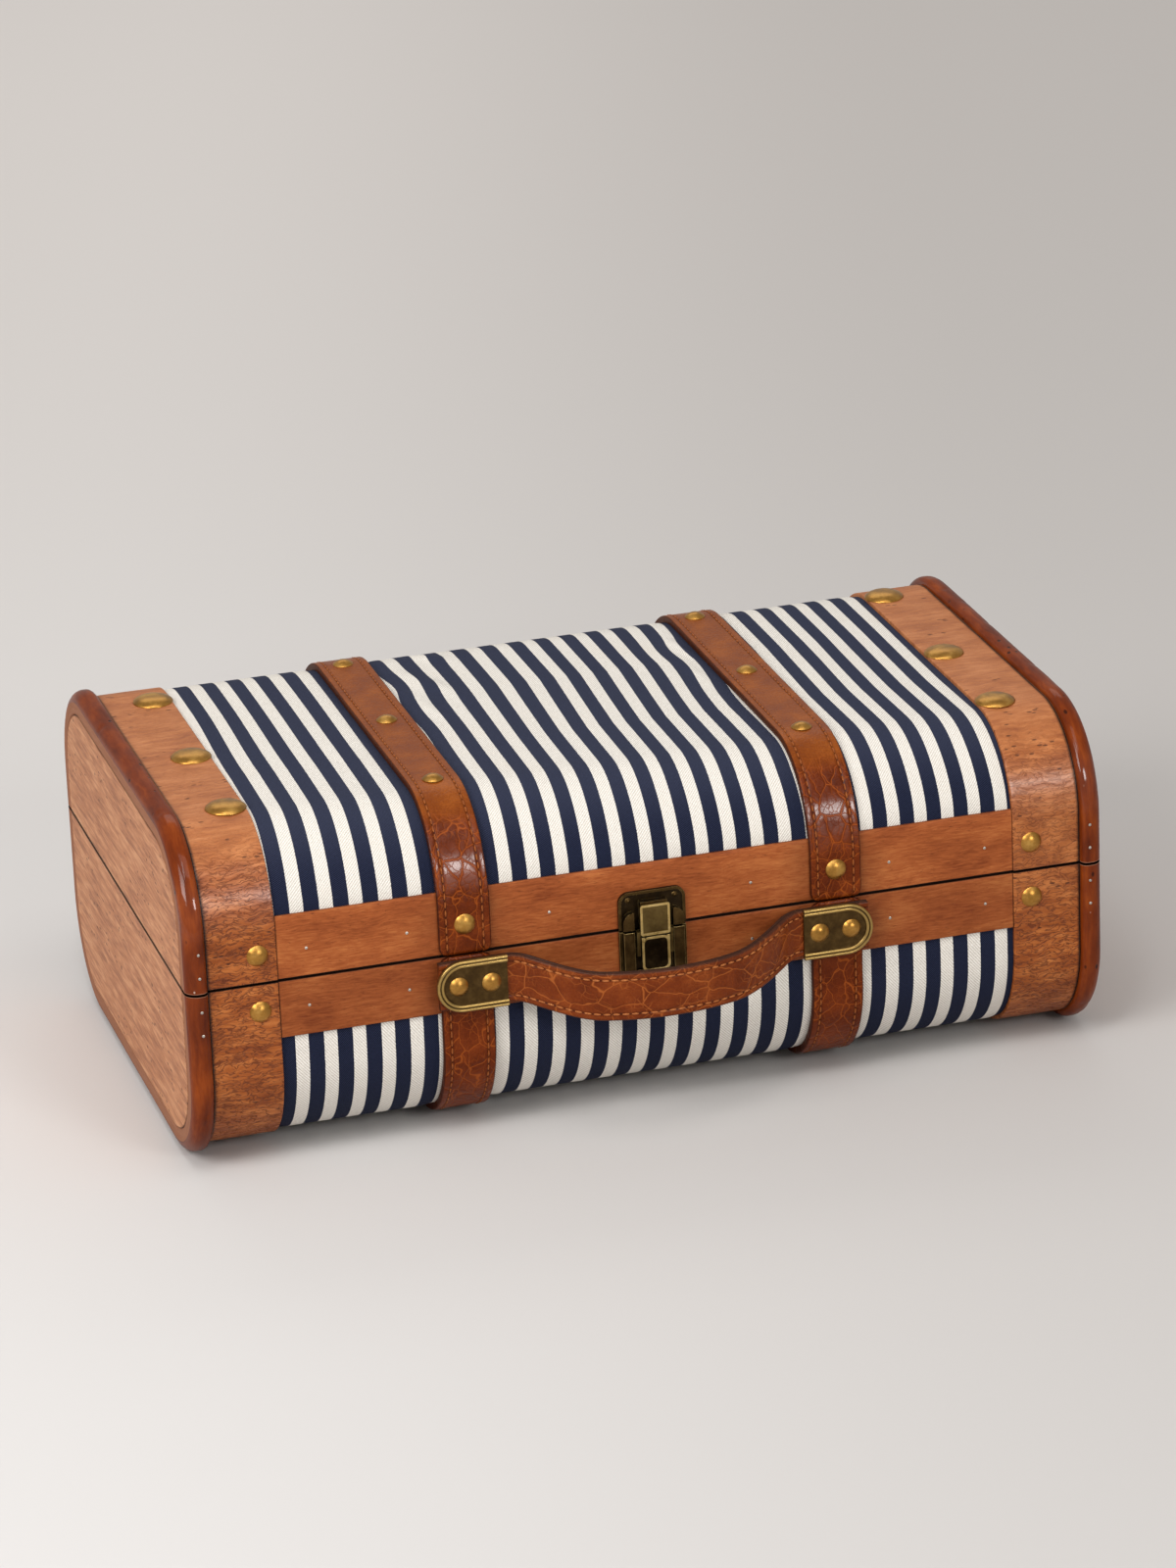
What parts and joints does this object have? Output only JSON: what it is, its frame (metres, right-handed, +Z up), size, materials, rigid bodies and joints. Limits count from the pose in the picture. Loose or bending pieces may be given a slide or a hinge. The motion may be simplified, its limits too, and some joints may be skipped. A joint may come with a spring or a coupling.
{
  "type": "suitcase box",
  "caption": "Small suitcase-shaped wooden keepsake box with striped cloth, leather straps and handle, domed nails, a hinged lid and a toggle latch.",
  "frame": {"origin": "on the table, under the middle of the bounding box, handle and hinges included", "axes": "+X along the length to the right of someone facing the handle, -Y to the front with the handle and latch, +Z up"},
  "size_m": [0.346, 0.2322, 0.1301],
  "materials": {
    "plywood": "raw thin plywood, stained",
    "end_board_wood": "matte pinkish brown stain over open grain",
    "trim_wood": "glossy red-brown varnish",
    "strip_wood": "satin stained veneer with wavy grain",
    "band_wood": "satin dark stain, darker at the edges",
    "striped_cloth": "navy and cream woven stripes",
    "lining_cloth": "plain matte lining cloth",
    "strap_leather": "brown crackle-embossed leather with stitching",
    "handle_leather": "brown crackle-embossed leather with stitching",
    "bright_brass": "worn satin brass",
    "antique_brass": "dark antique brass, bright on the edges",
    "pale_steel": "small bright pin heads"
  },
  "bodies": {
    "base": {"base_band_back": "band_wood", "base_band_brads": "pale_steel", "base_band_front": "band_wood", "base_end_board_left": "end_board_wood", "base_end_board_right": "end_board_wood", "base_end_strip_left": "strip_wood", "base_end_strip_right": "strip_wood", "base_end_trim_left": "trim_wood", "base_end_trim_right": "trim_wood", "base_fabric": "striped_cloth", "base_lining": "lining_cloth", "base_shell": "plywood", "base_strap_left": "strap_leather", "base_strap_nails": "bright_brass", "base_strap_right": "strap_leather", "base_strip_nails": "bright_brass", "base_trim_brads": "pale_steel", "handle_backing": "handle_leather", "handle_face": "handle_leather", "handle_plate_left": "antique_brass", "handle_plate_right": "antique_brass", "handle_rivets": "bright_brass", "hinge_base_leaf_left": "antique_brass", "hinge_base_leaf_right": "antique_brass", "hinge_base_screws": "antique_brass", "hinge_pin_left": "antique_brass", "hinge_pin_right": "antique_brass", "latch_base_plate": "antique_brass", "latch_base_tacks": "antique_brass", "latch_lever_pins": "antique_brass"},
    "lid": {"hinge_lid_leaf_left": "antique_brass", "hinge_lid_leaf_right": "antique_brass", "hinge_lid_screws": "antique_brass", "latch_catch_plate": "antique_brass", "latch_lid_tacks": "antique_brass", "lid_band_back": "band_wood", "lid_band_brads": "pale_steel", "lid_band_front": "band_wood", "lid_end_board_left": "end_board_wood", "lid_end_board_right": "end_board_wood", "lid_end_strip_left": "strip_wood", "lid_end_strip_right": "strip_wood", "lid_end_trim_left": "trim_wood", "lid_end_trim_right": "trim_wood", "lid_fabric": "striped_cloth", "lid_lining": "lining_cloth", "lid_shell": "plywood", "lid_strap_left": "strap_leather", "lid_strap_nails": "bright_brass", "lid_strap_right": "strap_leather", "lid_strip_nails": "bright_brass", "lid_top_nails": "bright_brass", "lid_trim_brads": "pale_steel"},
    "latch_lever": {"latch_hasp_pins": "antique_brass", "latch_lever": "antique_brass"},
    "latch_hasp": {"latch_hasp": "antique_brass"}
  },
  "joints": [
    {"name": "lid_hinge", "type": "hinge", "parent": "base", "child": "lid", "pos_m": [0, 0.1137, 0.0735], "axis": [-1, 0, 0], "range_deg": [0, 105]},
    {"name": "latch_lever_pivot", "type": "hinge", "parent": "base", "child": "latch_lever", "pos_m": [0, -0.0919, 0.07], "axis": [-1, 0, 0], "range_deg": [0, 85]},
    {"name": "latch_hasp_pivot", "type": "hinge", "parent": "latch_lever", "child": "latch_hasp", "pos_m": [0, -0.0919, 0.0655], "axis": [-1, 0, 0], "range_deg": [-85, 0]}
  ],
  "couplings": [
    {"joint": "latch_hasp_pivot", "follows": "latch_lever_pivot", "ratio": -1}
  ]
}
